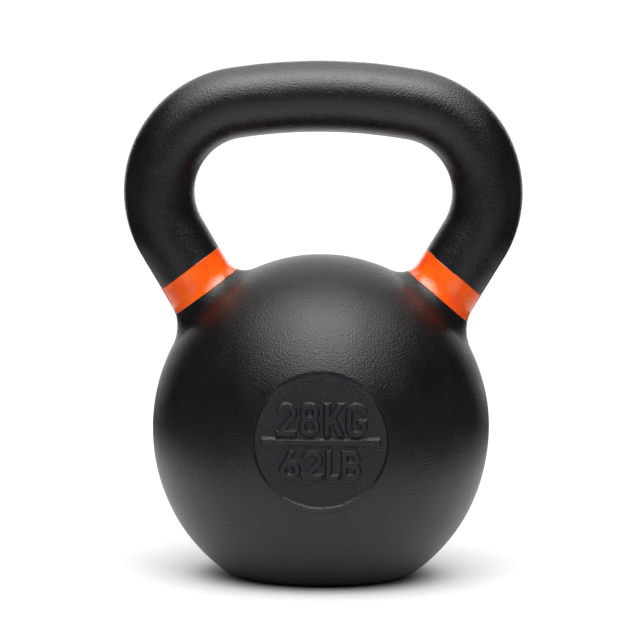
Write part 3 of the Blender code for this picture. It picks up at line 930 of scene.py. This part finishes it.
def studio_floor():
    """White paper: matt, a little cloudy, and lit from below like a light table, but for a spot under
    the object. The light grows again towards the far end."""
    finish = Finish("studio_floor")
    fibres = finish.noise(0.0008, detail=2.0)
    clouds = finish.noise(0.30, detail=2.0)
    off_middle = finish.length(finish.where)
    glow = 0.5 * off_middle.step(*UNLIT_SPOT) + 0.5 * off_middle.step(*FAR_LIGHT)
    paper = finish.blend(clouds, (0.54, 0.54, 0.54, 1.0), (0.57, 0.57, 0.57, 1.0))
    light = finish.blend(glow, (0.0, 0.0, 0.0, 1.0), (1.0, 1.0, 1.0, 1.0))
    return finish.surface(
        Base_Color=paper,
        Roughness=0.9,
        Specular_IOR_Level=0.2,
        Emission_Color=light,
        Emission_Strength=FLOOR_GLOW,
        Normal=finish.bump(fibres, 0.00002),
    )


# ---------------------------------------------------------------------------
# The studio
# ---------------------------------------------------------------------------

FLOOR_HALF_WIDTH = 0.34
FLOOR_NEAR = -0.34            # the sheet's ends in front of the object and behind it
FLOOR_FAR = 0.80
FLOOR_DROP = 0.0001           # keeps the floor's face off the ball's flat
FLOOR_THICKNESS = 0.0004
FLOOR_COLUMNS = 96
FLOOR_RINGS = (0.1, 0.3, 0.6, 1.0)
WHITE = (1.0, 1.0, 1.0, 1.0)
WHITE_GLOW = 1.1
SOFTBOX_SIZE = (2.0, 2.4)
SOFTBOX_SPOT = (0.0, -0.95, 1.62)
CORE_SIZE = (1.0, 1.0)
CORE_SPOT = (0.0, -0.60, 1.60)
CEILING_SIZE = (2.0, 1.3)
CEILING_SPOT = (0.0, 0.95, 1.62)
FRONT_SIZE = (1.6, 2.0)
FRONT_SPOT = (0.0, -1.36, 0.0)
BACKDROP_SIZE = (2.0, 1.15)
BACKDROP_SPOT = (0.0, 1.65, 0.58)
SIDE_SIZE = (1.7, 0.28)
SIDE_SPOT = (1.3, -0.45, 0.15)


def floor_sheet():
    """A flat oval floor, most of it behind the object: rings at growing shares of the oval, with a
    thin edge below."""
    share = np.array(FLOOR_RINGS)[:, None]
    around = np.linspace(0, TURN, FLOOR_COLUMNS, endpoint=False)[None, :]
    x = share * FLOOR_HALF_WIDTH * np.cos(around)
    y = (FLOOR_NEAR + FLOOR_FAR) / 2 + share * (FLOOR_FAR - FLOOR_NEAR) / 2 * np.sin(around)
    top = np.stack([x, y, np.full_like(x, -FLOOR_DROP)], -1)
    bottom = top[-1:] - [0, 0, FLOOR_THICKNESS]
    return np.concatenate([top, bottom])


def soft_light(name, size, spot, way, radiance):
    """A rectangle of even light that shines along its way and is itself unseen. A lamp's power is its
    radiance times its area times pi."""
    lamp = bpy.data.lights.new(name, "AREA")
    lamp.shape = "RECTANGLE"
    lamp.size, lamp.size_y = size
    lamp.energy = radiance * size[0] * size[1] * math.pi
    made = bpy.data.objects.new(name, lamp)
    made.location = spot
    made.rotation_euler = way.to_track_quat("-Z", "Y").to_euler()
    made.visible_camera = False
    bpy.context.scene.collection.objects.link(made)


def studio_world(room_glow):
    """White where the camera looks past the floor, and a dark room for everything else."""
    world = bpy.data.worlds.new("studio_world")
    world.use_nodes = True
    tree = world.node_tree
    tree.nodes.clear()
    path = tree.nodes.new("ShaderNodeLightPath")
    either = tree.nodes.new("ShaderNodeMixShader")
    out = tree.nodes.new("ShaderNodeOutputWorld")
    tree.links.new(path.outputs["Is Camera Ray"], either.inputs[0])
    for socket, glow in ((1, room_glow), (2, WHITE_GLOW)):
        light = tree.nodes.new("ShaderNodeBackground")
        light.inputs["Color"].default_value = WHITE
        light.inputs["Strength"].default_value = glow
        tree.links.new(light.outputs[0], either.inputs[socket])
    tree.links.new(either.outputs[0], out.inputs["Surface"])
    bpy.context.scene.world = world


# ---------------------------------------------------------------------------
# Operators
# ---------------------------------------------------------------------------


def casting_of(context):
    return Casting(context.scene.kettlebell_casting, context.scene.kettlebell_bands)


class KETTLEBELL_OT_ball(bpy.types.Operator):
    """Builds the ball's skin with both horn roots and the flat base."""

    bl_idname = "kettlebell.ball"
    bl_label = "Ball"

    def execute(self, context):
        looks = context.scene.kettlebell_looks
        coat = powder_coat(looks, "ball_coat", looks.coat_roughness, looks.coat_shine)
        rings = ball_rings(casting_of(context), context.scene.kettlebell_medallion.raised)
        place(skin_object("ball_skin", rings), "ball", coat)
        return {"FINISHED"}


class KETTLEBELL_OT_medallion(bpy.types.Operator):
    """Builds the flat disc on the ball's front with its raised weight marking."""

    bl_idname = "kettlebell.medallion"
    bl_label = "Medallion"

    def execute(self, context):
        looks = context.scene.kettlebell_looks
        coat = powder_coat(looks, "medallion_coat_painted_reflection", looks.coat_roughness, looks.coat_shine)
        rings, inside = medallion_rings(casting_of(context), context.scene.kettlebell_medallion)
        disc = skin_object("medallion", rings, values={"inside": inside})
        place(disc, "ball", coat)
        return {"FINISHED"}


class KETTLEBELL_OT_handle(bpy.types.Operator):
    """Builds the bent bar's skin from band to band."""

    bl_idname = "kettlebell.handle"
    bl_label = "Handle"

    def execute(self, context):
        looks = context.scene.kettlebell_looks
        coat = powder_coat(looks, "handle_coat", looks.grip_roughness, looks.grip_shine)
        rings = handle_rings(casting_of(context))
        place(skin_object("handle_skin", rings), "handle", coat)
        return {"FINISHED"}


class KETTLEBELL_OT_bands(bpy.types.Operator):
    """Paints the two orange rings over the feet of the horns."""

    bl_idname = "kettlebell.bands"
    bl_label = "Colour bands"

    def execute(self, context):
        enamel = band_enamel(context.scene.kettlebell_looks)
        for name, side in (("left_colour_band", -1), ("right_colour_band", 1)):
            rings, cover = band_rings(casting_of(context), context.scene.kettlebell_bands, side)
            paint = skin_object(name.replace("colour_band", "band_paint"), rings, True, {"cover": cover})
            place(paint, name, enamel)
        return {"FINISHED"}


class KETTLEBELL_OT_studio(bpy.types.Operator):
    """Sets up the pale floor, the soft lights and the camera."""

    bl_idname = "kettlebell.studio"
    bl_label = "Studio"

    def execute(self, context):
        studio = context.scene.kettlebell_studio
        floor = skin_object("studio_floor", floor_sheet())
        floor.data.materials.append(studio_floor())
        middle = (CAD_LOW + CAD_HIGH) / 2
        target = Vector((studio.camera_slide, 0, middle.z - studio.aim_drop))
        down, up, forward = Vector((0, 0, -1)), Vector((0, 0, 1)), Vector((0, -1, 0))
        soft_light("softbox", SOFTBOX_SIZE, SOFTBOX_SPOT, down, studio.softbox_glow)
        soft_light("softbox_core", CORE_SIZE, CORE_SPOT, down, studio.softbox_core)
        soft_light("ceiling_card", CEILING_SIZE, CEILING_SPOT, down, studio.ceiling_glow)
        soft_light("backdrop_card", BACKDROP_SIZE, BACKDROP_SPOT, forward, studio.backdrop_glow)
        soft_light("front_card", FRONT_SIZE, FRONT_SPOT, up, studio.front_glow)
        for name, side in (("left_card", -1), ("right_card", 1)):
            spot = (side * SIDE_SPOT[0], SIDE_SPOT[1], SIDE_SPOT[2])
            soft_light(name, SIDE_SIZE, spot, Vector((-side, 0, 0)), studio.side_glow)
        studio_world(studio.room_glow)
        camera = bpy.data.objects.new("studio_camera", bpy.data.cameras.new("studio_camera"))
        camera.data.lens = studio.lens
        camera.data.clip_start, camera.data.clip_end = 0.05, 50
        camera.location = (studio.camera_slide, -studio.camera_distance, studio.camera_height)
        level = (target - camera.location).to_track_quat("-Z", "Y")
        camera.rotation_euler = (level @ Quaternion((0, 0, 1), studio.camera_roll)).to_euler()
        context.scene.collection.objects.link(camera)
        context.scene.camera = camera
        context.scene.view_settings.view_transform = "Standard"
        return {"FINISHED"}


OPERATORS = (
    KETTLEBELL_OT_studio,
    KETTLEBELL_OT_ball,
    KETTLEBELL_OT_medallion,
    KETTLEBELL_OT_handle,
    KETTLEBELL_OT_bands,
)


class VIEW3D_PT_kettlebell(bpy.types.Panel):
    """Lists the sizes, the finishes and the steps of the build."""

    bl_label = "Kettlebell"
    bl_space_type = "VIEW_3D"
    bl_region_type = "UI"
    bl_category = "Kettlebell"

    def draw(self, context):
        for name, group in GROUPS.items():
            box = self.layout.box()
            box.label(text=group.__name__)
            for field in group.__annotations__:
                box.prop(getattr(context.scene, name), field)
        for operator in OPERATORS:
            self.layout.operator(operator.bl_idname)


CLASSES = (*GROUPS.values(), *OPERATORS, VIEW3D_PT_kettlebell)


def register():
    for made in CLASSES:
        bpy.utils.register_class(made)
    for name, group in GROUPS.items():
        setattr(bpy.types.Scene, name, bpy.props.PointerProperty(type=group))


def unregister():
    for name in GROUPS:
        delattr(bpy.types.Scene, name)
    for made in reversed(CLASSES):
        bpy.utils.unregister_class(made)


def main():
    register()
    bpy.ops.kettlebell.studio()
    bpy.ops.kettlebell.ball()
    bpy.ops.kettlebell.medallion()
    bpy.ops.kettlebell.handle()
    bpy.ops.kettlebell.bands()


if __name__ == "__main__":
    main()
